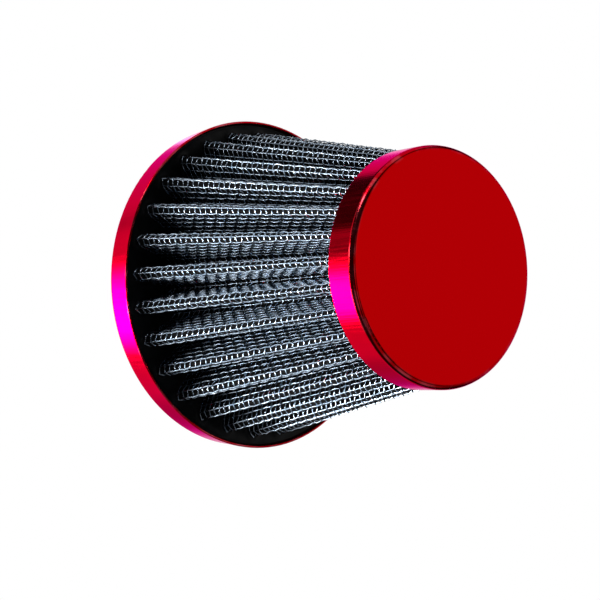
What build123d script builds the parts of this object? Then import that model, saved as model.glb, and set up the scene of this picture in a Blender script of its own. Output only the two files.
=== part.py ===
"""Clamp-on pod air filter: a tapered pleated element between a base ring and an end cap.

The rubber neck goes over an inlet spigot and is held by a worm-drive clamp.
Frame: origin at the centre of the neck's mouth, +Y out of the mouth, +Z up.
A station is a distance in millimetres from the mouth towards the end cap, which is along -Y.
"""

import os
from math import asin, atan2, cos, degrees, pi, radians, sin

from build123d import *

# ---- driving dimensions, millimetres and degrees ----

BORE_R = 19.0  # inlet bore, for a 38 mm spigot
NECK_R = 22.0  # outside of the rubber neck
NECK_LENGTH = 18.0  # mouth to the back of the base
RIB_R = 23.3  # rib that keeps the clamp on the neck
RIB_STATIONS = (0.7, 2.5)
MOUTH_LEAD_IN = 0.8

RING_BACK_R = 38.3  # base ring, back edge
RING_FRONT_R = 39.25  # base ring, front edge
RING_DEPTH = 7.6
RING_WALL = 0.6
RING_LIP_R = 34.5  # inner edge of the ring's back lip
RING_BACK_FILLET = 1.2

FLANGE_THICKNESS = 3.2  # rubber flange behind the compound
FLANGE_BOSS = (2.4, 1.2)  # collar round the neck: wall, height
FLANGE_BEAD = (29.0, 30.6, 0.6)  # raised ring on the back: inner radius, outer radius, height
POTTING_RECESS = 1.0  # compound's face below the ring's front edge
POTTING_BORE_R = 22.6

CAP_BACK_R = 26.9
CAP_FRONT_R = 27.1
CAP_DEPTH = 7.8
CAP_WALL = 0.6
CAP_EDGE_R = 1.2
CAP_BACK_STATION = 82.1
CAP_POTTING_DEPTH = 4.0

PLEATS = 28
PLEAT_PHASE = -1.0  # turn of the first pleat tip from +X towards +Z
TIP_R = 37.3  # pleat tips where the element starts, inside the base compound
VALLEY_R = 26.3  # pleat valleys there
TIP_FOLD_R = 1.6  # outer fold radius at a tip
VALLEY_FOLD_R = 0.7  # outer fold radius in a valley
ELEMENT_STATIONS = (22.0, 88.2)
ELEMENT_TAPER = 0.1855  # fall of the tip radius per millimetre

OUTER_MESH = 0.46  # woven thickness at the base end
INNER_MESH = 0.36
GAUZE_PLIES = 4
GAUZE_PLY = 0.10
LAYER_GAP = 0.02
SEAM_CLIP = 0.32
SEAM_CLIP_STATIONS = (26.5, 83.0)
SEAM_CLIP_VALLEY = 21  # the valley that holds the seam comes before this pleat
SEAM_CLIP_REACH = 3.0  # how far the clip runs up each flank

CLAMP_STATION = 9.0  # middle of the band
BAND_R = 22.75  # inside of the band
BAND_THICKNESS = 0.6
BAND_WIDTH = 9.0
TAIL_GAP = 0.3  # between the band and its free end on top of it
TAIL_ENTRY_ANGLE = 31.0
TAIL_EXIT_ANGLE = 60.0
TAIL_END_R = 3.0

WORM_PITCH = 2.5
WORM_R = 3.5
WORM_CORE_R = 2.75
WORM_DIP = 0.5  # how far the thread reaches into the slots
WORM_TURNS = 2.9
WORM_START = -1.5 * WORM_PITCH  # puts a crest over the middle slot at rest
THREAD_CREST = 0.8
THREAD_ROOT = 1.4
THREAD_SUNK = 0.3  # how far the thread's flanks carry on inside the core
THREAD_RUNOUT = 0.25  # plain core past the end of the thread
SLOT_WIDTH = 1.6
SLOT_LENGTH = 5.4
SLOTS_ENTRY = 4  # slots on the entry side of the worm
SLOTS_EXIT = 9  # slots on the exit side

HOUSING_HALF_LENGTH = 6.0
HOUSING_SIDE = 0.65
HOUSING_BORE_R = 3.75
HOUSING_END_WALL = 0.8
CHANNEL_CLEARANCE = 0.25
SHOULDER_RISE = 0.45
SADDLE_THICKNESS = 0.45
PIN_R = 1.5
PIN_HOLE_R = 1.75
PIN_COLLAR_R = 2.3
HEAD_ACROSS_FLATS = 6.5
HEAD_STATIONS = (-11.0, -7.2)
HEAD_SLOT = (1.0, 1.7)  # width, depth

# ---- derived places ----

BASE_FRONT = NECK_LENGTH + RING_DEPTH
POTTING_BACK = NECK_LENGTH + FLANGE_THICKNESS
POTTING_FACE = BASE_FRONT - POTTING_RECESS
CAP_FRONT = CAP_BACK_STATION + CAP_DEPTH
TAIL_R = BAND_R + BAND_THICKNESS + TAIL_GAP
TAIL_TOP_R = TAIL_R + BAND_THICKNESS
WORM_Z = TAIL_TOP_R - WORM_DIP + WORM_R
ENGAGED_R = TAIL_TOP_R - WORM_DIP / 2  # radius at which thread and slots keep step
SLOT_STEP = degrees(WORM_PITCH / ENGAGED_R)
HELIX_SLANT = degrees(atan2(WORM_PITCH, 2 * pi * (WORM_R - WORM_DIP / 2)))

os.makedirs("parts", exist_ok=True)


def station(distance):
    """Plane across the axis, facing the end cap: local x is +X, local y is +Z."""
    return Plane.XZ.offset(distance)


def write(part, name):
    part.label = name
    export_step(part, f"parts/{name}.step")


# ---- pleated layers ----

PLEAT_STEP = 2 * pi / PLEATS
TIP_CENTRE_R = TIP_R - TIP_FOLD_R
VALLEY_CENTRE_R = VALLEY_R + VALLEY_FOLD_R


def taper_scale(distance):
    """Size of the pleated section at a station, relative to where the element starts."""
    return 1 - ELEMENT_TAPER * (distance - ELEMENT_STATIONS[0]) / TIP_R


def polar(radius, angle):
    return Vector(radius * cos(angle), radius * sin(angle))


def pleat_angle(pleat):
    """Angle of a pleat's tip; half-way between two pleats is a valley."""
    return radians(PLEAT_PHASE) + pleat * PLEAT_STEP


def flank_ends(pleat, side, depth, scale_factor):
    """Ends of one straight flank of a pleat, at its tip fold and at its valley fold.

    Both folds keep their centres while the surface moves inwards by depth,
    so every layer has the same flank direction.
    """
    tip_angle = pleat_angle(pleat)
    tip = polar(TIP_CENTRE_R, tip_angle)
    valley = polar(VALLEY_CENTRE_R, tip_angle + side * PLEAT_STEP / 2)
    across = valley - tip
    lean = asin((TIP_FOLD_R + VALLEY_FOLD_R) / across.length)
    centre_line = atan2(across.Y, across.X)
    outward = polar(1, centre_line - side * (pi / 2 - lean))
    on_tip = tip + outward * (TIP_FOLD_R - depth)
    on_valley = valley - outward * (VALLEY_FOLD_R + depth)
    return on_tip * scale_factor, on_valley * scale_factor


def pleat_outline(depth, scale_factor):
    """Closed zigzag of flanks, tip folds and valley folds, drawn in the active line builder."""
    for pleat in range(PLEATS):
        tip_angle = pleat_angle(pleat)
        tip_top = polar((TIP_R - depth) * scale_factor, tip_angle)
        valley_floor = polar((VALLEY_R - depth) * scale_factor, tip_angle + PLEAT_STEP / 2)
        low_tip, low_valley = flank_ends(pleat, -1, depth, scale_factor)
        high_tip, high_valley = flank_ends(pleat, 1, depth, scale_factor)
        next_valley = flank_ends(pleat + 1, -1, depth, scale_factor)[1]
        Line(low_valley, low_tip)
        ThreePointArc(low_tip, tip_top, high_tip)
        Line(high_tip, high_valley)
        ThreePointArc(high_valley, valley_floor, next_valley)


def pleated_layer(outer_depth, thickness):
    """One pleated sheet of the pack, from the base compound to the cap compound."""
    with BuildPart() as layer:
        for depth, mode in ((outer_depth, Mode.ADD), (outer_depth + thickness, Mode.SUBTRACT)):
            for distance in ELEMENT_STATIONS:
                with BuildSketch(station(distance)):
                    with BuildLine():
                        pleat_outline(depth, taper_scale(distance))
                    make_face()
            loft(ruled=True, mode=mode)
    return layer.part


depth_reached = 0.0
write(pleated_layer(depth_reached, OUTER_MESH), "outer_mesh")
depth_reached += OUTER_MESH + LAYER_GAP

for ply in range(GAUZE_PLIES):
    write(pleated_layer(depth_reached, GAUZE_PLY), f"gauze_ply_{ply + 1}")
    depth_reached += GAUZE_PLY + LAYER_GAP

write(pleated_layer(depth_reached, INNER_MESH), "inner_mesh")
depth_reached += INNER_MESH + LAYER_GAP


# ---- seam clip: a folded strip over one inner fold ----

def clip_side(depth, scale_factor):
    """Points of the clip's section at one depth: flank end, fold side, fold floor, fold side, flank end."""
    valley_angle = pleat_angle(SEAM_CLIP_VALLEY - 0.5)
    tip_a, side_a = flank_ends(SEAM_CLIP_VALLEY - 1, 1, depth, scale_factor)
    tip_b, side_b = flank_ends(SEAM_CLIP_VALLEY, -1, depth, scale_factor)
    floor = polar((VALLEY_R - depth) * scale_factor, valley_angle)
    reach = SEAM_CLIP_REACH * scale_factor
    end_a = side_a + (tip_a - side_a).normalized() * reach
    end_b = side_b + (tip_b - side_b).normalized() * reach
    return end_a, side_a, floor, side_b, end_b


with BuildPart() as seam_clip:
    for distance in SEAM_CLIP_STATIONS:
        clip_scale = taper_scale(distance)
        near = clip_side(depth_reached, clip_scale)
        far = clip_side(depth_reached + SEAM_CLIP, clip_scale)
        with BuildSketch(station(distance)):
            with BuildLine():
                Line(near[0], near[1])
                ThreePointArc(near[1], near[2], near[3])
                Line(near[3], near[4])
                Line(near[4], far[4])
                Line(far[4], far[3])
                ThreePointArc(far[3], far[2], far[1])
                Line(far[1], far[0])
                Line(far[0], near[0])
            make_face()
    loft(ruled=True)

write(seam_clip.part, "seam_clip")


# ---- base: ring, rubber flange, neck and compound ----

def ring_wall_r(distance):
    """Inside radius of the base ring's wall at a station."""
    share = (distance - NECK_LENGTH) / RING_DEPTH
    return RING_BACK_R + (RING_FRONT_R - RING_BACK_R) * share - RING_WALL


with BuildPart() as base_ring:
    with BuildSketch(Plane.XY):
        with BuildLine():
            Polyline(
                (RING_LIP_R, -NECK_LENGTH),
                (RING_BACK_R, -NECK_LENGTH),
                (RING_FRONT_R, -BASE_FRONT),
                (ring_wall_r(BASE_FRONT), -BASE_FRONT),
                (ring_wall_r(NECK_LENGTH + RING_WALL), -NECK_LENGTH - RING_WALL),
                (RING_LIP_R, -NECK_LENGTH - RING_WALL),
                close=True,
            )
        make_face()
    revolve(axis=Axis.Y)
    back_rims = base_ring.edges().filter_by(GeomType.CIRCLE).group_by(Axis.Y)[-1]
    fillet(back_rims.sort_by(SortBy.RADIUS)[-1], radius=RING_BACK_FILLET)
    bend = base_ring.edges().filter_by(GeomType.CIRCLE).filter_by_position(
        Axis.Y, -NECK_LENGTH - RING_WALL - 0.01, -NECK_LENGTH - RING_WALL + 0.01
    )
    fillet(bend.sort_by(SortBy.RADIUS)[-1], radius=RING_BACK_FILLET - RING_WALL)
    front_rims = base_ring.edges().filter_by(GeomType.CIRCLE).group_by(Axis.Y)[0]
    fillet(front_rims, radius=RING_WALL * 0.4)

write(base_ring.part, "base_ring")

FLANGE_CLEARANCE = 0.1
STEP_STATION = NECK_LENGTH + RING_WALL + FLANGE_CLEARANCE
FLANGE_R = ring_wall_r(STEP_STATION) - 1.0
BOSS_R = NECK_R + FLANGE_BOSS[0]

with BuildPart() as base_flange:
    with BuildSketch(Plane.XY):
        with BuildLine():
            Polyline(
                (NECK_R, -NECK_LENGTH + FLANGE_BOSS[1]),
                (BOSS_R, -NECK_LENGTH + FLANGE_BOSS[1]),
                (BOSS_R, -NECK_LENGTH),
                (RING_LIP_R - FLANGE_CLEARANCE, -NECK_LENGTH),
                (RING_LIP_R - FLANGE_CLEARANCE, -STEP_STATION),
                (FLANGE_R, -STEP_STATION),
                (FLANGE_R, -POTTING_BACK),
                (NECK_R, -POTTING_BACK),
                close=True,
            )
        make_face()
    revolve(axis=Axis.Y)
    circles = base_flange.edges().filter_by(GeomType.CIRCLE)
    boss_rims = circles.filter_by(lambda edge: abs(edge.radius - BOSS_R) < 0.01)
    fillet(boss_rims, radius=FLANGE_BOSS[1] * 0.4)
    with BuildSketch(Plane.XY):
        with Locations(((FLANGE_BEAD[0] + FLANGE_BEAD[1]) / 2, -NECK_LENGTH)):
            Rectangle(FLANGE_BEAD[1] - FLANGE_BEAD[0], 2 * FLANGE_BEAD[2])
        fillet(vertices().group_by(Axis.Y)[-1], radius=0.4)
    revolve(axis=Axis.Y)

write(base_flange.part, "base_flange")

with BuildPart() as inlet_neck:
    with BuildSketch(Plane.XY):
        with BuildLine():
            Polyline(
                (BORE_R, 0),
                (NECK_R, 0),
                (NECK_R, -POTTING_BACK),
                (BORE_R, -POTTING_BACK),
                close=True,
            )
        make_face()
        chamfer(vertices().group_by(Axis.Y)[-1], length=MOUTH_LEAD_IN / 2)
    revolve(axis=Axis.Y)
    with BuildSketch(Plane.XY):
        with Locations(((NECK_R + RIB_R) / 2 - 0.25, -sum(RIB_STATIONS) / 2)):
            Rectangle(RIB_R - NECK_R + 0.5, RIB_STATIONS[1] - RIB_STATIONS[0])
        fillet(vertices().group_by(Axis.X)[-1], radius=0.6)
    revolve(axis=Axis.Y)

write(inlet_neck.part, "inlet_neck")

POTTING_R_BACK = ring_wall_r(POTTING_BACK)
POTTING_R_FACE = ring_wall_r(POTTING_FACE)

with BuildPart() as base_potting:
    with BuildSketch(Plane.XY):
        with BuildLine():
            Polyline(
                (POTTING_BORE_R, -POTTING_BACK),
                (POTTING_R_BACK, -POTTING_BACK),
                (POTTING_R_FACE, -POTTING_FACE),
                (POTTING_BORE_R, -POTTING_FACE),
                close=True,
            )
        make_face()
    revolve(axis=Axis.Y)

write(base_potting.part, "base_potting")


# ---- end cap and its compound ----

CAP_INNER_FRONT = CAP_FRONT - CAP_WALL

with BuildPart() as end_cap:
    with BuildSketch(Plane.XY):
        with BuildLine():
            Polyline(
                (0, -CAP_FRONT),
                (CAP_FRONT_R, -CAP_FRONT),
                (CAP_BACK_R, -CAP_BACK_STATION),
                (CAP_BACK_R - CAP_WALL, -CAP_BACK_STATION),
                (CAP_FRONT_R - CAP_WALL, -CAP_INNER_FRONT),
                (0, -CAP_INNER_FRONT),
                close=True,
            )
        make_face()
    revolve(axis=Axis.Y)
    rims = end_cap.edges().filter_by(GeomType.CIRCLE)
    fillet(rims.group_by(Axis.Y)[0], radius=CAP_EDGE_R)
    rims = end_cap.edges().filter_by(GeomType.CIRCLE)
    inner_bend = rims.filter_by_position(Axis.Y, -CAP_INNER_FRONT - 0.01, -CAP_INNER_FRONT + 0.01)
    fillet(inner_bend.sort_by(SortBy.RADIUS)[-1], radius=CAP_EDGE_R - CAP_WALL)
    rims = end_cap.edges().filter_by(GeomType.CIRCLE)
    fillet(rims.group_by(Axis.Y)[-1], radius=CAP_WALL * 0.3)

write(end_cap.part, "end_cap")

CAP_POTTING_GAP = 0.5  # the bend of the cap keeps the compound's edge back from the corner

with BuildPart() as cap_potting:
    with BuildSketch(Plane.XY):
        with BuildLine():
            Polyline(
                (0, -CAP_INNER_FRONT),
                (CAP_FRONT_R - CAP_WALL - CAP_POTTING_GAP, -CAP_INNER_FRONT),
                (CAP_BACK_R - CAP_WALL, -CAP_INNER_FRONT + CAP_POTTING_GAP),
                (CAP_BACK_R - CAP_WALL, -CAP_INNER_FRONT + CAP_POTTING_DEPTH),
                (0, -CAP_INNER_FRONT + CAP_POTTING_DEPTH),
                close=True,
            )
        make_face()
    revolve(axis=Axis.Y)

write(cap_potting.part, "cap_potting")


# ---- worm-drive clamp ----

with BuildPart() as clamp_band:
    with BuildSketch(station(CLAMP_STATION)):
        Circle(BAND_R + BAND_THICKNESS)
        Circle(BAND_R, mode=Mode.SUBTRACT)
    extrude(amount=BAND_WIDTH / 2, both=True)

write(clamp_band.part, "clamp_band")

TAIL_SWEEP = TAIL_ENTRY_ANGLE + TAIL_EXIT_ANGLE

with BuildPart() as clamp_band_tail:
    with BuildSketch(station(CLAMP_STATION)):
        with BuildLine():
            outer = CenterArc((0, 0), TAIL_TOP_R, 90 - TAIL_ENTRY_ANGLE, TAIL_SWEEP)
            inner = CenterArc((0, 0), TAIL_R, 90 - TAIL_ENTRY_ANGLE, TAIL_SWEEP)
            Line(outer @ 0, inner @ 0)
            Line(outer @ 1, inner @ 1)
        make_face()
    extrude(amount=BAND_WIDTH / 2, both=True)
    corners = clamp_band_tail.edges().filter_by(GeomType.LINE).filter_by(
        lambda edge: abs(edge.length - BAND_THICKNESS) < 0.01
    )
    fillet(corners, radius=TAIL_END_R)
    for slot in range(-SLOTS_ENTRY, SLOTS_EXIT + 1):
        slot_angle = radians(90 + slot * SLOT_STEP)
        slot_centre = polar(TAIL_TOP_R, slot_angle)
        slot_plane = Plane(
            origin=(slot_centre.X, -CLAMP_STATION, slot_centre.Y),
            x_dir=(-sin(slot_angle), 0, cos(slot_angle)),
            z_dir=(cos(slot_angle), 0, sin(slot_angle)),
        )
        with Locations(slot_plane):
            Box(
                SLOT_WIDTH,
                SLOT_LENGTH,
                4 * BAND_THICKNESS,
                rotation=(0, 0, -HELIX_SLANT),
                mode=Mode.SUBTRACT,
            )

write(clamp_band_tail.part, "clamp_band_tail")

CHANNEL_HALF = BAND_WIDTH / 2 + CHANNEL_CLEARANCE
HOUSING_HALF_WIDTH = CHANNEL_HALF + HOUSING_SIDE
CHANNEL_TOP = TAIL_TOP_R + SHOULDER_RISE
SHOULDER_TOP = CHANNEL_TOP + HOUSING_SIDE
ARCH_R = HOUSING_BORE_R + HOUSING_SIDE
HOUSING_FOOT = 20.0  # the section starts below the saddle and is cut to the saddle's top

across_worm = Plane(origin=(0, -CLAMP_STATION, 0), x_dir=(0, 1, 0), z_dir=(1, 0, 0))


def housing_section(half_width, shoulder_z, arch_r):
    """Section across the worm: a channel for the strip below, an arch over the worm above."""
    with Locations((0, (HOUSING_FOOT + shoulder_z) / 2)):
        Rectangle(2 * half_width, shoulder_z - HOUSING_FOOT)
    with Locations((0, WORM_Z)):
        Circle(arch_r)


with BuildPart() as clamp_housing:
    with BuildSketch(across_worm):
        housing_section(HOUSING_HALF_WIDTH, SHOULDER_TOP, ARCH_R)
    extrude(amount=HOUSING_HALF_LENGTH, both=True)
    with BuildSketch(across_worm.offset(-HOUSING_HALF_LENGTH)):
        housing_section(CHANNEL_HALF, CHANNEL_TOP, HOUSING_BORE_R)
    extrude(amount=2 * HOUSING_HALF_LENGTH - HOUSING_END_WALL, mode=Mode.SUBTRACT)
    with BuildSketch(across_worm):
        with Locations((0, (HOUSING_FOOT + CHANNEL_TOP) / 2)):
            Rectangle(2 * CHANNEL_HALF, CHANNEL_TOP - HOUSING_FOOT)
        with Locations((0, WORM_Z)):
            Circle(PIN_HOLE_R)
    extrude(amount=HOUSING_HALF_LENGTH, mode=Mode.SUBTRACT)
    with BuildSketch(station(CLAMP_STATION)):
        Circle(BAND_R)
    extrude(amount=HOUSING_HALF_WIDTH, both=True, mode=Mode.SUBTRACT)

write(clamp_housing.part, "clamp_housing")

SADDLE_SWEEP = 2 * degrees(asin(HOUSING_HALF_LENGTH / BAND_R))

with BuildPart() as clamp_saddle:
    with BuildSketch(station(CLAMP_STATION)):
        with BuildLine():
            saddle_top = CenterArc((0, 0), BAND_R, 90 - SADDLE_SWEEP / 2, SADDLE_SWEEP)
            saddle_foot = CenterArc((0, 0), BAND_R - SADDLE_THICKNESS, 90 - SADDLE_SWEEP / 2, SADDLE_SWEEP)
            Line(saddle_top @ 0, saddle_foot @ 0)
            Line(saddle_top @ 1, saddle_foot @ 1)
        make_face()
    extrude(amount=HOUSING_HALF_WIDTH, both=True)

write(clamp_saddle.part, "clamp_saddle")


# ---- clamp screw: head, neck, worm, pin and collar along X ----

screw_start = Plane(origin=(0, -CLAMP_STATION, WORM_Z), x_dir=(0, 1, 0), z_dir=(1, 0, 0))


def along_screw(distance):
    return screw_start.offset(distance)


PIN_END = HOUSING_HALF_LENGTH + 0.15
COLLAR_END = PIN_END + 0.65
THREAD_RUN = WORM_TURNS * WORM_PITCH
WORM_END = WORM_START + THREAD_RUN + THREAD_ROOT / 2 + THREAD_RUNOUT
flank_slope = (THREAD_ROOT - THREAD_CREST) / 2 / (WORM_R - WORM_CORE_R)
sunk_half = THREAD_ROOT / 2 + THREAD_SUNK * flank_slope

with BuildPart() as clamp_screw:
    with BuildSketch(along_screw(HEAD_STATIONS[0])):
        RegularPolygon(radius=HEAD_ACROSS_FLATS / 2, side_count=6, major_radius=False)
    extrude(amount=HEAD_STATIONS[1] - HEAD_STATIONS[0])
    with BuildSketch(along_screw(HEAD_STATIONS[0])):
        Rectangle(2 * HEAD_ACROSS_FLATS, HEAD_SLOT[0])
    extrude(amount=HEAD_SLOT[1], mode=Mode.SUBTRACT)
    with BuildSketch(along_screw(HEAD_STATIONS[1])):
        Circle(WORM_CORE_R)
    extrude(amount=WORM_END - HEAD_STATIONS[1])
    with BuildSketch(along_screw(WORM_END)):
        Circle(PIN_R)
    extrude(amount=COLLAR_END - WORM_END)
    with BuildSketch(along_screw(PIN_END)):
        Circle(PIN_COLLAR_R)
    extrude(amount=COLLAR_END - PIN_END)
    thread_start = Vector(WORM_START, -CLAMP_STATION, WORM_Z)
    with BuildLine():
        thread_path = Helix(WORM_PITCH, THREAD_RUN, WORM_CORE_R, center=thread_start, direction=(1, 0, 0))
    radial = (thread_path @ 0 - thread_start).normalized()
    with BuildSketch(Plane(origin=thread_path @ 0, x_dir=radial, z_dir=radial.cross(Vector(1, 0, 0)))):
        with BuildLine():
            Polyline(
                (-THREAD_SUNK, -sunk_half),
                (WORM_R - WORM_CORE_R, -THREAD_CREST / 2),
                (WORM_R - WORM_CORE_R, THREAD_CREST / 2),
                (-THREAD_SUNK, sunk_half),
                close=True,
            )
        make_face()
    sweep(path=thread_path, is_frenet=True)

write(clamp_screw.part, "clamp_screw")
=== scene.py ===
"""Clamp-on pod air filter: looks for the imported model, in metres, in the CAD's frame.

The filter's axis is Y: the inlet's mouth is at the origin facing +Y, the end cap faces -Y.
A station is a distance from the mouth towards the end cap.
"""

import math

import bpy
import numpy as np
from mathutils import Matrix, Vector


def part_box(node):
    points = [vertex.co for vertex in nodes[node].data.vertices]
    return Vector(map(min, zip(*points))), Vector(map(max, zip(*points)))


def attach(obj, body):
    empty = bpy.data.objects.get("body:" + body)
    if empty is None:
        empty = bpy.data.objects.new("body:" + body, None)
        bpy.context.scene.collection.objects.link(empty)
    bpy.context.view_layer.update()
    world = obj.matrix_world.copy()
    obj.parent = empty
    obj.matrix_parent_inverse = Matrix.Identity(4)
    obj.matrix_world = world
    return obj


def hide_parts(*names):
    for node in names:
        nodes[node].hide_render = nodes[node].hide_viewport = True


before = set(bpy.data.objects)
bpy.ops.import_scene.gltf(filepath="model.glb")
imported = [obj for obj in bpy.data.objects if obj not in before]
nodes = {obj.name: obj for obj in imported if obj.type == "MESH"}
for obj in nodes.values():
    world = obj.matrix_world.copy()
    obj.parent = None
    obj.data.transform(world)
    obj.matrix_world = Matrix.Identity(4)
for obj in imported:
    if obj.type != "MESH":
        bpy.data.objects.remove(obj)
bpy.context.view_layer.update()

MM = 0.001
rng = np.random.default_rng(7)


# ---- places taken from the frame ----

def stations(node):
    """Stations of a node's ends, mouth side first."""
    low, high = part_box(node)
    return -high.y, -low.y


def outer_radius(node):
    low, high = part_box(node)
    return (high.x - low.x) / 2


# ---- mesh helpers ----

def make_piece(name, points, quads, body, replaces=()):
    """A smooth-shaded mesh piece from quads that rides on a CAD body."""
    quads = np.asarray(quads, np.int32).reshape(-1, 4)
    points = np.asarray(points, np.float32).reshape(-1, 3)
    mesh = bpy.data.meshes.new(name)
    mesh.vertices.add(len(points))
    mesh.vertices.foreach_set("co", points.ravel())
    mesh.loops.add(quads.size)
    mesh.loops.foreach_set("vertex_index", quads.ravel())
    mesh.polygons.add(len(quads))
    mesh.polygons.foreach_set("loop_start", np.arange(0, quads.size, 4, dtype=np.int32))
    mesh.polygons.foreach_set("use_smooth", np.ones(len(quads), bool))
    mesh.update(calc_edges=True)
    mesh.validate()
    piece = bpy.data.objects.new(name, mesh)
    bpy.context.scene.collection.objects.link(piece)
    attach(piece, body)
    if replaces:
        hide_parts(*replaces)
    return piece


def grid_quads(rows, columns, wrap_rows=False, wrap_columns=False):
    """Quads of a rows by columns grid of vertices, closed round on itself where asked."""
    row = np.arange(rows if wrap_rows else rows - 1)[:, None]
    column = np.arange(columns if wrap_columns else columns - 1)[None, :]
    next_row, next_column = (row + 1) % rows, (column + 1) % columns
    corners = (
        row * columns + column,
        row * columns + next_column,
        next_row * columns + next_column,
        next_row * columns + column,
    )
    shape = np.broadcast_shapes(row.shape, column.shape)
    return np.stack([np.broadcast_to(c, shape) for c in corners], -1).reshape(-1, 4)


def add_uv(piece, name, coordinates):
    """A UV layer from one coordinate pair per face corner."""
    layer = piece.data.uv_layers.new(name=name)
    layer.data.foreach_set("uv", np.asarray(coordinates, np.float32).ravel())


def tubes(centres, across, along, radius, sides, closed):
    """Points and quads of round wires, with flat ends where they aren't closed rings.

    centres is wires by points by 3; across and along are unit vectors of each ring's plane.
    """
    wires, count, _ = centres.shape
    turn = np.arange(sides) * 2 * math.pi / sides
    ring = np.cos(turn)[:, None] * across[:, :, None, :]
    ring = ring + np.sin(turn)[:, None] * along[:, :, None, :]
    points = centres[:, :, None, :] + radius * ring
    one = grid_quads(count, sides, wrap_rows=closed, wrap_columns=True)
    if not closed:
        ends = []
        for start, flip in ((0, False), ((count - 1) * sides, True)):
            for first in range(1, sides - 2, 2):
                cap = [start, start + first, start + first + 1, start + first + 2]
                ends.append(cap[::-1] if flip else cap)
        one = np.vstack([one, np.array(ends, np.int64)])
    step = np.arange(wires)[:, None, None] * (count * sides)
    return points.reshape(-1, 3), (one[None] + step).reshape(-1, 4)


# ---- pleated section, the same as the CAD layers ----

PLEATS = 28
PLEAT_STEP = 2 * math.pi / PLEATS
PLEAT_PHASE = math.radians(-1.0)  # turn of the first tip from +X towards +Z
TAPER = 0.1855  # fall of the tip radius per unit of station
TIP_R = 37.3 * MM  # pleat tips and valleys where the element starts
VALLEY_R = 26.3 * MM
TIP_FOLD_R = 1.6 * MM  # outer fold radii
VALLEY_FOLD_R = 0.7 * MM

ELEMENT_START, ELEMENT_END = stations("outer_mesh")
CAP_FRONT = stations("end_cap")[1]
BASE_FRONT = stations("base_ring")[1]
END_GAP = 0.1 * MM  # wires and cloth stop this far inside the CAD layer's ends
WEFT_INSET = 0.6 * MM  # least distance of a weft wire from the layer's ends
UNEVEN_BEND = 0.12  # spread of a wire's bend from crossing to crossing
WIRE_WANDER = 0.035 * MM  # spread of the crossings' places


def taper_scale(station):
    return 1 - TAPER * (station - ELEMENT_START) / TIP_R


def half_pleat(shares, depth):
    """Points and outward normals from a tip (share 0) to the next valley (share 1), by arc length."""
    tip = np.array([TIP_R - TIP_FOLD_R, 0.0])
    middle = PLEAT_STEP / 2
    valley = (VALLEY_R + VALLEY_FOLD_R) * np.array([math.cos(middle), math.sin(middle)])
    across = valley - tip
    lean = math.asin((TIP_FOLD_R + VALLEY_FOLD_R) / np.hypot(*across))
    flank_turn = math.atan2(across[1], across[0]) - (math.pi / 2 - lean)
    tip_r, valley_r = TIP_FOLD_R - depth, VALLEY_FOLD_R + depth
    outward = np.array([math.cos(flank_turn), math.sin(flank_turn)])
    on_tip, on_valley = tip + outward * tip_r, valley - outward * valley_r
    flank = np.hypot(*(on_valley - on_tip))
    tip_arc, valley_arc = tip_r * flank_turn, valley_r * (flank_turn - middle)
    points, normals = [], []
    for share in shares:
        run = share * (tip_arc + flank + valley_arc)
        if run < tip_arc:
            turn = run / tip_r
            normal = np.array([math.cos(turn), math.sin(turn)])
            point = tip + normal * tip_r
        elif run < tip_arc + flank:
            normal = outward
            point = on_tip + (on_valley - on_tip) * (run - tip_arc) / flank
        else:
            turn = flank_turn - (run - tip_arc - flank) / valley_r
            normal = np.array([math.cos(turn), math.sin(turn)])
            point = valley - normal * valley_r
        points.append(point)
        normals.append(normal)
    return np.array(points), np.array(normals)


def spun(flat, turn):
    """Section vectors turned about the axis."""
    c, s = math.cos(turn), math.sin(turn)
    return flat @ np.array([[c, s], [-s, c]])


def section(per_pleat, depth):
    """Points and normals round the whole pack, and their spacing; a pleat's first point is its tip."""
    half = per_pleat // 2
    first_half = half_pleat(np.arange(half + 1) / half, depth)
    around = []
    for vectors in first_half:
        mirrored = (vectors * np.array([1.0, -1.0]))[half:0:-1]
        pieces = []
        for pleat in range(PLEATS):
            turn = PLEAT_PHASE + pleat * PLEAT_STEP
            pieces += [spun(vectors[:half], turn), spun(mirrored, turn + PLEAT_STEP)]
        around.append(np.vstack(pieces))
    points = first_half[0]
    return *around, np.hypot(*(points[1] - points[0]))


def in_space(flat, station):
    """Section coordinates (X, Z) and stations to points in the frame."""
    station = np.broadcast_to(station, flat.shape[:-1])
    return np.stack([flat[..., 0], -station, flat[..., 1]], -1)


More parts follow.
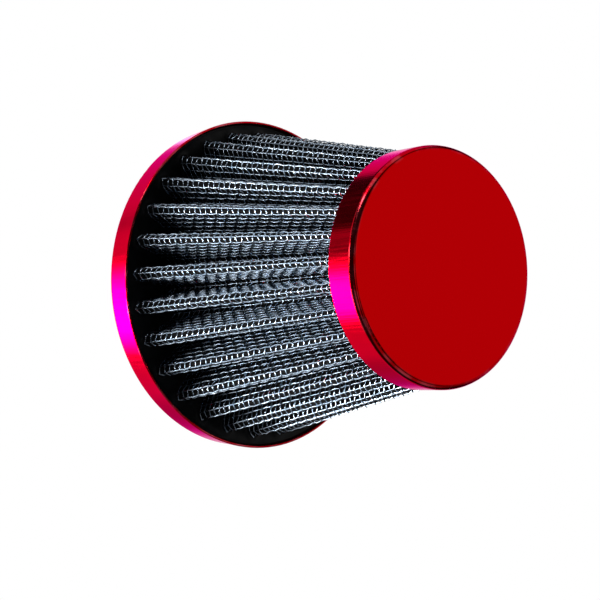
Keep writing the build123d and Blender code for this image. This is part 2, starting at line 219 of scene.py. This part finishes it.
def woven_mesh(node, per_pleat, mid_depth, pitch, wire_r, amplitude, sides):
    """Plain-weave wire cloth bent along the pleats: one piece for each direction of wire.

    The warp runs from the base to the cap and the weft round the pack; returns both and the
    stations of the weft.
    """
    flat, normal, _ = section(per_pleat, mid_depth)
    count = len(flat)
    rows = int((ELEMENT_END - ELEMENT_START - 2 * WEFT_INSET) / pitch) + 1
    first = (ELEMENT_START + ELEMENT_END - (rows - 1) * pitch) / 2
    row_stations = first + np.arange(rows) * pitch
    sign = 1 - 2 * ((np.arange(rows)[:, None] + np.arange(count)[None, :]) % 2)
    scale = taper_scale(row_stations)[:, None, None]
    base = in_space(flat[None] * scale, row_stations[:, None])
    out = in_space(np.broadcast_to(normal[None], (rows, count, 2)), 0.0)
    bend = amplitude * (1 + UNEVEN_BEND * rng.standard_normal((rows, count, 1)))
    bend = bend * sign[:, :, None]
    base = base + rng.normal(0, WIRE_WANDER, (rows, count, 3))
    axis = np.broadcast_to(np.array([0.0, 1.0, 0.0]), base.shape)
    sideways = np.cross(axis, out)

    ends = []
    for station in (ELEMENT_START + END_GAP, ELEMENT_END - END_GAP):
        ends.append(in_space(flat * taper_scale(station), station)[None])
    lengthwise = np.concatenate([ends[0], base + out * bend, ends[1]]).transpose(1, 0, 2)
    warp_out = np.concatenate([out[:1], out, out[-1:]]).transpose(1, 0, 2)
    warp_side = np.concatenate([sideways[:1], sideways, sideways[-1:]]).transpose(1, 0, 2)
    points, quads = tubes(lengthwise, warp_side, warp_out, wire_r, sides, closed=False)
    warp = make_piece(f"{node}_warp", points, quads, "filter", (node,))

    points, quads = tubes(base - out * bend, axis, out, wire_r, sides, closed=True)
    weft = make_piece(f"{node}_weft", points, quads, "filter", (node,))
    return warp, weft, row_stations


def gauze_sheet(name, node, per_pleat, depth, thickness, row_stations, bulge):
    """Cloth behind the wires, swelling a little into each opening of the wire cloth."""
    flat, normal, step = section(2 * per_pleat, depth)
    count = len(flat)
    middles = (row_stations[:-1] + row_stations[1:]) / 2
    inner = np.sort(np.concatenate([row_stations, middles]))
    rows_at = np.concatenate([[ELEMENT_START + END_GAP], inner, [ELEMENT_END - END_GAP]])
    rows = len(rows_at)
    open_row = np.zeros(rows)
    open_row[2:-1:2] = 1
    open_column = np.arange(count) % 2
    lift = bulge * open_row[:, None] * open_column[None, :] - 0.35 * bulge
    lift = lift + rng.normal(0, 0.12 * bulge, lift.shape)
    scale = taper_scale(rows_at)[:, None, None]
    out = in_space(np.broadcast_to(normal[None], (rows, count, 2)), 0.0)
    middle = in_space(flat[None] * scale, rows_at[:, None])
    face, back = middle + out * lift[:, :, None], middle - out * thickness
    points = np.concatenate([face.reshape(-1, 3), back.reshape(-1, 3)])
    front_quads = grid_quads(rows, count, wrap_columns=True)
    back_quads = front_quads[:, ::-1] + rows * count
    rims = []
    for row, flip in ((0, True), (rows - 1, False)):
        here = row * count + np.arange(count)
        ahead = row * count + (np.arange(count) + 1) % count
        rim = np.stack([here, ahead, ahead + rows * count, here + rows * count], -1)
        rims.append(rim if flip else rim[:, ::-1])
    quads = np.concatenate([front_quads[:, ::-1], back_quads[:, ::-1], *rims])
    piece = make_piece(name, points, quads, "filter", (node,))
    row_of = (quads % (rows * count)) // count
    column_of = (quads % (rows * count)) % count
    last = (column_of == 0) & ((column_of == count - 1).any(1))[:, None]
    around = np.where(last, count, column_of) * step
    add_uv(piece, "Cloth", np.stack([around, rows_at[row_of]], -1))
    return piece


# ---- shader helpers ----

class Nodes:
    """Short calls for the pattern nodes of one node tree."""

    def __init__(self, tree):
        self.tree = tree

    def node(self, kind, **settings):
        made = self.tree.nodes.new(kind)
        for name, value in settings.items():
            setattr(made, name, value)
        return made

    def feed(self, socket, value):
        if isinstance(value, bpy.types.NodeSocket):
            self.tree.links.new(value, socket)
        else:
            socket.default_value = value

    def math(self, operation, *values, clamp=False):
        made = self.node("ShaderNodeMath", operation=operation, use_clamp=clamp)
        for socket, value in zip(made.inputs, values):
            self.feed(socket, value)
        return made.outputs[0]

    def times(self, value, factor):
        return self.math("MULTIPLY", value, factor)

    def hypotenuse(self, first, second):
        squares = [self.math("MULTIPLY", side, side) for side in (first, second)]
        return self.math("SQRT", self.math("ADD", *squares))

    def position(self):
        return self.node("ShaderNodeTexCoord").outputs["Object"]

    def uv(self, name):
        return self.node("ShaderNodeUVMap", uv_map=name).outputs["UV"]

    def split(self, vector):
        made = self.node("ShaderNodeSeparateXYZ")
        self.feed(made.inputs[0], vector)
        return made.outputs

    def join(self, x, y, z):
        made = self.node("ShaderNodeCombineXYZ")
        for socket, value in zip(made.inputs, (x, y, z)):
            self.feed(socket, value)
        return made.outputs[0]

    def scaled(self, vector, factors):
        made = self.node("ShaderNodeVectorMath", operation="MULTIPLY")
        self.feed(made.inputs[0], vector)
        made.inputs[1].default_value = factors
        return made.outputs[0]

    def round_the_axis(self):
        """Radius, angle in radians and Y of a point about the filter's axis."""
        x, y, z = self.split(self.position())
        return self.hypotenuse(x, z), self.math("ARCTAN2", z, x), y

    def noise(self, vector, scale, detail=2.0, roughness=0.5):
        made = self.node("ShaderNodeTexNoise")
        self.feed(made.inputs["Vector"], vector)
        for socket, value in (("Scale", scale), ("Detail", detail), ("Roughness", roughness)):
            made.inputs[socket].default_value = value
        return made.outputs["Fac"]

    def voronoi(self, vector, scale, output="Distance"):
        made = self.node("ShaderNodeTexVoronoi", feature="F1")
        self.feed(made.inputs["Vector"], vector)
        made.inputs["Scale"].default_value = scale
        return made.outputs[output]

    def between(self, value, low, high, to_low=0.0, to_high=1.0, smooth=False):
        """The value's place from low to high, carried to the range to_low to to_high."""
        kind = "SMOOTHSTEP" if smooth else "LINEAR"
        made = self.node("ShaderNodeMapRange", interpolation_type=kind)
        for socket, number in zip(made.inputs, (value, low, high, to_low, to_high)):
            self.feed(socket, number)
        return made.outputs[0]

    def mix(self, share, first, second):
        made = self.node("ShaderNodeMix", data_type="RGBA")
        self.feed(made.inputs["Factor"], share)
        for socket, colour in ((made.inputs[6], first), (made.inputs[7], second)):
            self.feed(socket, colour if isinstance(colour, bpy.types.NodeSocket) else (*colour, 1.0))
        return made.outputs[2]

    def bump(self, height, distance, strength=1.0, under=None):
        made = self.node("ShaderNodeBump")
        self.feed(made.inputs["Height"], height)
        made.inputs["Distance"].default_value = distance
        made.inputs["Strength"].default_value = strength
        if under is not None:
            self.feed(made.inputs["Normal"], under)
        return made.outputs[0]


class Shader(Nodes):
    """A material with one Principled shader."""

    def __init__(self, name, **values):
        self.material = bpy.data.materials.new(name)
        self.material.use_nodes = True
        super().__init__(self.material.node_tree)
        self.surface = self.tree.nodes["Principled BSDF"]
        for socket, value in values.items():
            self.surface.inputs[socket.replace("_", " ")].default_value = value

    def finish(self, colour=None, roughness=None, normal=None):
        for socket, value in (("Base Color", colour), ("Roughness", roughness), ("Normal", normal)):
            if value is not None:
                self.feed(self.surface.inputs[socket], value)
        return self.material


def paint(objects, material):
    for thing in objects:
        thing.data.materials.clear()
        thing.data.materials.append(material)


# ---- materials ----

# Dye of the anodised shells: on the walls in two depths, on the flat face, rubbed thin at the edge
# where it also paints a highlight, and in pits.
RED = (0.61, 0.0028, 0.010)
RED_DEEP = (0.55, 0.0022, 0.008)
RED_FACE = (0.615, 0.0007, 0.0012)
# Lighter, pinker colour of the edge: dye rubbed thin, and a painted highlight.
RED_RUBBED_AND_HIGHLIGHT = (0.78, 0.20, 0.26)
RED_PIT = (0.25, 0.0, 0.004)


def red_anodised(name, edge_radius, edge_station, edge_reach, draw_depth):
    """Dyed anodised aluminium: draw lines along the wall, faint turning on the flat, a lighter edge of
    rubbed dye and painted highlight.
    """
    shader = Shader(name, Metallic=1.0, Specular_Tint=(1.0, 0.1, 0.62, 1.0))
    radius, angle, y = shader.round_the_axis()
    place = shader.position()
    cloud = shader.noise(place, 55.0, 3.0)
    draw = shader.noise(shader.join(shader.times(angle, 62.0), shader.times(y, 60.0), 0.0), 1.0, 3.0)
    turning = shader.join(shader.times(radius, 9000.0), shader.times(angle, 1.2), 0.0)
    turned = shader.noise(turning, 1.0, 2.0)
    pits = shader.between(shader.voronoi(place, 900.0), 0.0, 0.16, 1.0, 0.0)

    # Patchy band round the rounded edge where the dye is rubbed thin and a highlight is painted.
    off_edge = shader.math("SUBTRACT", radius, edge_radius), shader.math("ADD", y, edge_station)
    rub_and_highlight = shader.between(shader.hypotenuse(*off_edge), edge_reach, 0.0, smooth=True)
    patchy = shader.between(shader.noise(place, 260.0, 3.0), 0.45, 0.75)
    worn = shader.math("MULTIPLY", shader.math("MULTIPLY", rub_and_highlight, patchy), 0.55, clamp=True)

    colour = shader.mix(shader.between(cloud, 0.35, 0.7), RED, RED_DEEP)
    flat_face = shader.between(y, -edge_station, -edge_station - 0.3 * MM)
    colour = shader.mix(flat_face, colour, RED_FACE)
    colour = shader.mix(shader.times(pits, 0.25), colour, RED_PIT)
    # Edge band: rubbed dye and painted highlight.
    colour = shader.mix(worn, colour, RED_RUBBED_AND_HIGHLIGHT)

    wall = shader.between(radius, edge_radius - 1.5 * MM, edge_radius)
    lines = shader.math("MULTIPLY", shader.math("SUBTRACT", draw, 0.5), wall)
    rough = shader.between(lines, -0.2, 0.2, 0.11, 0.19)
    rough = shader.math("ADD", rough, shader.times(worn, 0.12))
    normal = shader.bump(lines, draw_depth, 0.8)
    normal = shader.bump(turned, 0.0012 * MM, 0.35, normal)
    return shader.finish(colour, rough, normal)


def wire(name, light, dark):
    """Drawn aluminium wire with an uneven oxide film."""
    shader = Shader(name, Metallic=1.0)
    place = shader.position()
    film = shader.noise(place, 420.0, 4.0, 0.6)
    fine = shader.noise(shader.scaled(place, (1.0, 0.25, 1.0)), 9000.0, 2.0)
    patches = shader.between(shader.noise(place, 70.0, 2.0), 0.4, 0.65)
    colour = shader.mix(shader.between(film, 0.35, 0.68), light, dark)
    colour = shader.mix(shader.times(patches, 0.3), colour, dark)
    rough = shader.between(film, 0.3, 0.7, 0.15, 0.32)
    return shader.finish(colour, rough, shader.bump(fine, 0.01 * MM, 0.4))


THREAD_PITCH = 0.42 * MM


def gauze():
    """Oiled black cotton gauze: over-and-under threads with painted shade between them, and loose
    fibres.
    """
    shader = Shader("black_gauze_cloth", Metallic=0.0, Specular_IOR_Level=0.06)
    turns = 2 * math.pi / THREAD_PITCH
    u, v, _ = shader.split(shader.uv("Cloth"))
    bent = shader.noise(shader.position(), 900.0, 2.0)
    shift = shader.between(bent, 0.0, 1.0, -1.2, 1.2)
    warp = shader.math("SINE", shader.math("ADD", shader.times(u, turns), shift))
    weft = shader.math("SINE", shader.math("ADD", shader.times(v, turns), shift))
    height = shader.math("MAXIMUM", warp, weft)
    fibre = shader.noise(shader.position(), 6000.0, 3.0)
    # dark and light follow the weave's height: painted shade in the gaps between threads, lighter
    # thread tops.
    dark, light, loose = (0.0006, 0.0008, 0.0010), (0.0024, 0.0032, 0.0038), (0.0055, 0.0070, 0.0080)
    colour = shader.mix(shader.between(height, -0.6, 1.0), dark, light)
    colour = shader.mix(shader.between(fibre, 0.45, 0.8, 0.0, 0.5), colour, loose)
    rough = shader.between(fibre, 0.3, 0.7, 0.72, 0.95)
    normal = shader.bump(height, 0.06 * MM, 0.8)
    return shader.finish(colour, rough, shader.bump(fibre, 0.02 * MM, 0.5, normal))


def rubber():
    """Moulded black rubber with mould texture and a faint grey bloom."""
    shader = Shader("moulded_rubber", Metallic=0.0, Specular_IOR_Level=0.25)
    place = shader.position()
    grain = shader.noise(place, 3200.0, 3.0)
    bloom = shader.noise(place, 90.0, 4.0, 0.6)
    nicks = shader.between(shader.voronoi(place, 500.0), 0.0, 0.1, 1.0, 0.0)
    black, grey = (0.0045, 0.0045, 0.005), (0.012, 0.012, 0.0128)
    colour = shader.mix(shader.between(bloom, 0.4, 0.75), black, grey)
    rough = shader.between(bloom, 0.3, 0.7, 0.50, 0.72)
    normal = shader.bump(grain, 0.03 * MM, 0.6)
    normal = shader.bump(shader.times(nicks, -1.0), 0.06 * MM, 0.4, normal)
    return shader.finish(colour, rough, normal)


def compound():
    """Poured potting compound: half-gloss skin with small waves, pits and dust."""
    shader = Shader("potting_compound", Metallic=0.0, Specular_IOR_Level=0.12)
    place = shader.position()
    waves = shader.noise(place, 160.0, 3.0)
    pits = shader.between(shader.voronoi(place, 650.0), 0.0, 0.14, 1.0, 0.0)
    dust = shader.between(shader.noise(place, 2200.0, 2.0), 0.6, 0.8)
    black, worn, dusty = (0.0015, 0.0018, 0.0022), (0.0045, 0.005, 0.006), (0.016, 0.018, 0.020)
    colour = shader.mix(shader.between(waves, 0.4, 0.7), black, worn)
    colour = shader.mix(shader.times(dust, 0.35), colour, dusty)
    rough = shader.between(waves, 0.3, 0.7, 0.30, 0.46)
    rough = shader.math("ADD", rough, shader.times(dust, 0.25))
    normal = shader.bump(waves, 0.4 * MM, 0.5)
    normal = shader.bump(shader.times(pits, -1.0), 0.1 * MM, 0.6, normal)
    return shader.finish(colour, rough, normal)


def strip(name, light, dark, lengthwise):
    """Rolled steel strip; the lines run round the axis, or along it where lengthwise is false."""
    shader = Shader(name, Metallic=1.0)
    radius, angle, y = shader.round_the_axis()
    place = shader.position()
    round_share, along_share = (2.0, 9000.0) if lengthwise else (260.0, 60.0)
    rolled = shader.join(
        shader.times(angle, round_share), shader.times(y, along_share), shader.times(radius, 4000.0)
    )
    lines = shader.noise(rolled, 1.0, 3.0)
    smudge = shader.noise(place, 120.0, 3.0)
    scratch = shader.noise(shader.scaled(place, (0.3, 2.2, 0.3)), 2600.0, 2.0)
    scratch = shader.between(scratch, 0.66, 0.74)
    colour = shader.mix(shader.between(smudge, 0.35, 0.7), light, dark)
    rough = shader.between(lines, 0.3, 0.7, 0.24, 0.40)
    rough = shader.math("ADD", rough, shader.times(scratch, 0.15))
    normal = shader.bump(lines, 0.006 * MM, 0.6)
    return shader.finish(colour, rough, shader.bump(scratch, 0.004 * MM, 0.4, normal))


def plated():
    """Zinc-plated screw: uneven, slightly yellow passivation and fine machining lines."""
    shader = Shader("zinc_plated_screw", Metallic=1.0)
    place = shader.position()
    tint = shader.noise(place, 380.0, 3.0)
    lines = shader.noise(shader.scaled(place, (9.0, 1.0, 1.0)), 1500.0, 3.0)
    colour = shader.mix(shader.between(tint, 0.35, 0.7), (0.70, 0.69, 0.64), (0.55, 0.56, 0.57))
    rough = shader.between(tint, 0.3, 0.7, 0.20, 0.34)
    return shader.finish(colour, rough, shader.bump(lines, 0.01 * MM, 0.5))


def spangle():
    """Galvanised strip with zinc spangles."""
    shader = Shader("galvanised_strip", Metallic=1.0)
    place = shader.position()
    shade = shader.split(shader.voronoi(place, 700.0, output="Color"))[0]
    colour = shader.mix(shade, (0.42, 0.44, 0.46), (0.68, 0.70, 0.72))
    rough = shader.between(shade, 0.0, 1.0, 0.32, 0.5)
    normal = shader.bump(shader.noise(place, 2500.0), 0.01 * MM, 0.5)
    return shader.finish(colour, rough, normal)


# ---- pleated pack ----

WIRES_PER_PLEAT = 14

outer_warp, outer_weft, mesh_stations = woven_mesh(
    "outer_mesh",
    per_pleat=WIRES_PER_PLEAT,
    mid_depth=0.27 * MM,
    pitch=1.63 * MM,
    wire_r=0.15 * MM,
    amplitude=0.14 * MM,
    sides=6,
)
inner_warp, inner_weft, _ = woven_mesh(
    "inner_mesh",
    per_pleat=10,
    mid_depth=1.14 * MM,
    pitch=2.1 * MM,
    wire_r=0.12 * MM,
    amplitude=0.11 * MM,
    sides=4,
)
gauze_face = gauze_sheet(
    "gauze_face_ply",
    "gauze_ply_1",
    per_pleat=WIRES_PER_PLEAT,
    depth=0.50 * MM,
    thickness=0.06 * MM,
    row_stations=mesh_stations,
    bulge=0.12 * MM,
)

paint((outer_warp, outer_weft), wire("aluminium_wire", (0.72, 0.83, 0.96), (0.20, 0.28, 0.38)))
paint((inner_warp, inner_weft), wire("aluminium_wire_inside", (0.80, 0.82, 0.84), (0.52, 0.55, 0.58)))


# ---- base and cap compound: skin that climbs a little on the pleats and the wall ----

def pleat_distance(radius, angle, scale):
    """Distance of points to the pleated surface, by symmetry inside one half pleat."""
    outline, _ = half_pleat(np.linspace(0, 1, 60), 0.0)
    outline = outline * scale
    folded = np.abs((angle - PLEAT_PHASE + PLEAT_STEP / 2) % PLEAT_STEP - PLEAT_STEP / 2)
    points = np.stack([radius * np.cos(folded), radius * np.sin(folded)], -1)
    gaps = points[..., None, :] - outline
    return np.sqrt((gaps**2).sum(-1)).min(-1)


COMPOUND_CLIMB = 0.35 * MM  # how far the compound climbs the pleats
PLEAT_REACH = 0.45 * MM  # how far from a pleat, and from the wall, the climb dies away
WALL_REACH = 0.5 * MM
SWELL = 0.06 * MM
WALL_GAP = 0.02 * MM


def poured_skin(name, node, inner_r, face, back):
    """A closed ring of compound whose face has a meniscus at the pleats and at the outer wall."""
    outer_r = outer_radius(node) - WALL_GAP
    columns, rings = PLEATS * 24, 34
    turn = np.arange(columns) * 2 * math.pi / columns
    radius = np.linspace(inner_r, outer_r, rings)
    towards = math.copysign(1.0, face - back)
    grid_r, grid_turn = np.meshgrid(radius, turn)
    near = pleat_distance(grid_r, grid_turn, taper_scale(face))
    at_wall = np.exp(-(outer_r - grid_r) / WALL_REACH)
    rise = COMPOUND_CLIMB * (np.exp(-near / PLEAT_REACH) + 0.8 * at_wall - 0.25)
    swell = SWELL * (np.sin(3 * grid_turn + 1.1) + np.sin(7 * grid_turn + grid_r / (1.7 * MM)))
    station = face + towards * rise + swell
    top = np.stack([grid_r * np.cos(grid_turn), -station, grid_r * np.sin(grid_turn)], -1)
    rims = []
    for rim_r in (outer_r, inner_r):
        rim = [rim_r * np.cos(turn), np.full(columns, -back), rim_r * np.sin(turn)]
        rims.append(np.stack(rim, -1)[:, None])
    points = np.concatenate([top, *rims], axis=1)
    quads = grid_quads(columns, rings + 2, wrap_rows=True, wrap_columns=True)
    if towards < 0:
        quads = quads[:, ::-1]
    return make_piece(name, points, quads, "filter", (node,))


BASE_COMPOUND_BORE_R = 22.6 * MM
CAP_COMPOUND_BORE_R = 0.5 * MM
CAP_COMPOUND_INSET = 0.6 * MM

base_back, base_face = stations("base_potting")
cap_face, cap_back = stations("cap_potting")
base_skin = poured_skin("base_compound", "base_potting", BASE_COMPOUND_BORE_R, base_face, base_back)
cap_skin = poured_skin(
    "cap_compound", "cap_potting", CAP_COMPOUND_BORE_R, cap_face, cap_back - CAP_COMPOUND_INSET
)
paint((base_skin, cap_skin), compound())


# ---- materials of the CAD nodes that stay ----

inner_plies = [nodes[f"gauze_ply_{ply}"] for ply in (2, 3, 4)]
paint([gauze_face] + inner_plies, gauze())
for sheet in inner_plies:
    sheet.data.uv_layers.new(name="Cloth")

EDGE_INSET = 0.4 * MM  # middle of the cap's rounded edge, in from its side and its face
RIM_INSET = 0.3 * MM  # middle of the ring's front rim, in from its side
cap_edge_r = outer_radius("end_cap") - EDGE_INSET
ring_edge_r = outer_radius("base_ring") - RIM_INSET
paint(
    [nodes["end_cap"]],
    red_anodised("red_anodised_cap", cap_edge_r, CAP_FRONT - EDGE_INSET, 1.1 * MM, 0.024 * MM),
)
paint(
    [nodes["base_ring"]],
    red_anodised("red_anodised_ring", ring_edge_r, BASE_FRONT, 0.7 * MM, 0.003 * MM),
)
paint([nodes["base_flange"], nodes["inlet_neck"]], rubber())
paint([nodes["seam_clip"]], spangle())
paint(
    [nodes["clamp_band"], nodes["clamp_band_tail"]],
    strip("stainless_band", (0.62, 0.62, 0.61), (0.48, 0.49, 0.50), True),
)
paint(
    [nodes["clamp_housing"], nodes["clamp_saddle"]],
    strip("stainless_housing", (0.60, 0.60, 0.59), (0.44, 0.45, 0.46), False),
)
paint([nodes["clamp_screw"]], plated())


# ---- camera ----

def direction(azimuth, elevation):
    """Unit vector; azimuth from -Y towards +X, elevation up from level, degrees."""
    a, e = math.radians(azimuth), math.radians(elevation)
    return Vector((math.sin(a) * math.cos(e), -math.cos(a) * math.cos(e), math.sin(e)))


LENS, SENSOR = 147.4, 36.0
TARGET = Vector((0.01165, -0.02764, -0.00337))
DISTANCE = 0.59497
TOWARDS_CAMERA = direction(-40.518, -4.058)

camera_data = bpy.data.cameras.new("camera")
camera_data.lens = LENS
camera_data.sensor_width = SENSOR
camera_data.clip_start, camera_data.clip_end = 0.01, 100.0
camera = bpy.data.objects.new("camera", camera_data)
bpy.context.scene.collection.objects.link(camera)
camera.location = TARGET + TOWARDS_CAMERA * DISTANCE
camera.rotation_mode = "QUATERNION"
camera.rotation_quaternion = (-TOWARDS_CAMERA).to_track_quat("-Z", "Y")
bpy.context.scene.camera = camera


# ---- studio: white sweep behind, darker room in front, soft boxes ----

world = bpy.data.worlds.new("studio")
bpy.context.scene.world = world
world.use_nodes = True
sky = Nodes(world.node_tree)


def facing(vector):
    made = sky.node("ShaderNodeVectorMath", operation="DOT_PRODUCT")
    sky.feed(made.inputs[0], view_ray)
    made.inputs[1].default_value = vector
    return made.outputs["Value"]


def patch(azimuth, elevation, half_width, half_height, soft, tilt=0.0):
    """Share from 0 to 1 of a soft-edged rectangle in the sky; sizes in degrees."""
    middle = direction(azimuth, elevation)
    level = Vector((-middle.y, middle.x, 0)).normalized()
    upright = middle.cross(level) * -1
    if upright.z < 0:
        upright = -upright
    turned = math.radians(tilt)
    wide = level * math.cos(turned) + upright * math.sin(turned)
    tall = upright * math.cos(turned) - level * math.sin(turned)
    ahead = sky.math("MAXIMUM", facing(middle), 0.02)
    share = sky.between(facing(middle), 0.0, 0.1)
    for axis, half in ((wide, half_width), (tall, half_height)):
        slope = sky.math("ABSOLUTE", sky.math("DIVIDE", facing(axis), ahead))
        near = math.tan(math.radians(max(half - soft, 0.0)))
        far = math.tan(math.radians(half + soft))
        share = sky.math("MULTIPLY", share, sky.between(slope, far, near, smooth=True))
    return share


FRONT_LEVEL, REAR_LEVEL, TOP_LEVEL = 0.02, 0.96, 0.75  # radiance of the room, the sweep, the ceiling
REAR_EDGE = 0.30, 0.62  # cosines from the middle between which the sweep and the ceiling fade in
TOP_EDGE = 0.70, 0.86

view_ray = sky.node("ShaderNodeTexCoord").outputs["Generated"]
rear = sky.between(facing(direction(180, 0)), *REAR_EDGE, smooth=True)
above = sky.between(facing(Vector((0, 0, 1))), *TOP_EDGE, smooth=True)
radiance = sky.between(rear, 0.0, 1.0, FRONT_LEVEL, REAR_LEVEL)
radiance = sky.math("MAXIMUM", radiance, sky.times(above, TOP_LEVEL))

# Azimuth, elevation, half width, half height, softness and tilt in degrees, then radiance.
# Flags replace what is behind them; boxes shine over it.
FLAGS = (
    (-173, 51, 15, 16, 3, 0, 0.02),  # dark zone at the top of the cap's wall
    (-153, 34, 13, 12, 3, 0, 0.03),
    (-142, 14, 6, 7, 4, 0, 0.18),  # where the dark zone fades out
    (150, -31, 18, 13, 6, 0, 0.56),  # dims the sweep under the cap
)
BOXES = (
    (46, 14, 20, 22, 12, 0, 0.71),  # broad panel on the cap's face
    (-152, -11.5, 14, 12, 6, -33, 60.0),  # strong lamp behind, the bright bands on both walls
    (146, 18, 5, 4, 4, 0, 3.0),  # gleam on top of both walls
    (-80, 56, 9, 6, 4, 0, 12.0),  # highlights along the cap's rounded edge
    (-113, 10, 3, 8, 3, 0, 16.0),
    (20, -47, 30, 20, 9, 0, 0.38),  # fill for the edge's underside
    (85, 4, 34, 26, 12, 0, 0.60),  # fills for the right side, the front and the front from above
    (0, -3, 9, 12, 7, 0, 0.50),
    (-45, -25, 13, 11, 7, 0, 0.40),
)
for azimuth, elevation, wide, tall, soft, tilt, level in FLAGS:
    share = patch(azimuth, elevation, wide, tall, soft, tilt)
    kept = sky.math("MULTIPLY", radiance, sky.math("SUBTRACT", 1.0, share))
    radiance = sky.math("ADD", kept, sky.times(share, level))
for azimuth, elevation, wide, tall, soft, tilt, level in BOXES:
    share = patch(azimuth, elevation, wide, tall, soft, tilt)
    radiance = sky.math("MAXIMUM", radiance, sky.times(share, level))

path = sky.node("ShaderNodeLightPath")
backdrop = world.node_tree.nodes["Background"]
backdrop.inputs["Color"].default_value = (1, 1, 1, 1)
seen = path.outputs["Is Camera Ray"]
lit = sky.math("MULTIPLY", radiance, sky.math("SUBTRACT", 1.0, seen))
sky.feed(backdrop.inputs["Strength"], sky.math("ADD", lit, seen))

FLOOR_Z = -0.12
FLOOR_R = 0.85
FLOOR_CORNERS = 96
floor_mesh = bpy.data.meshes.new("floor")
turns = [k * 2 * math.pi / FLOOR_CORNERS for k in range(FLOOR_CORNERS)]
rim = [(FLOOR_R * math.cos(turn), FLOOR_R * math.sin(turn), FLOOR_Z) for turn in turns]
floor_mesh.from_pydata(rim, [], [tuple(range(FLOOR_CORNERS))])
floor = bpy.data.objects.new("floor", floor_mesh)
bpy.context.scene.collection.objects.link(floor)
floor.visible_glossy = False
floor.visible_shadow = False
floor_shader = Shader("floor_paper", Roughness=0.9)
paper = floor_shader.noise(floor_shader.position(), 40.0, 3.0)
paint([floor], floor_shader.finish(floor_shader.mix(paper, (0.90, 0.90, 0.90), (0.93, 0.93, 0.93))))

bpy.context.scene.view_settings.view_transform = "Standard"
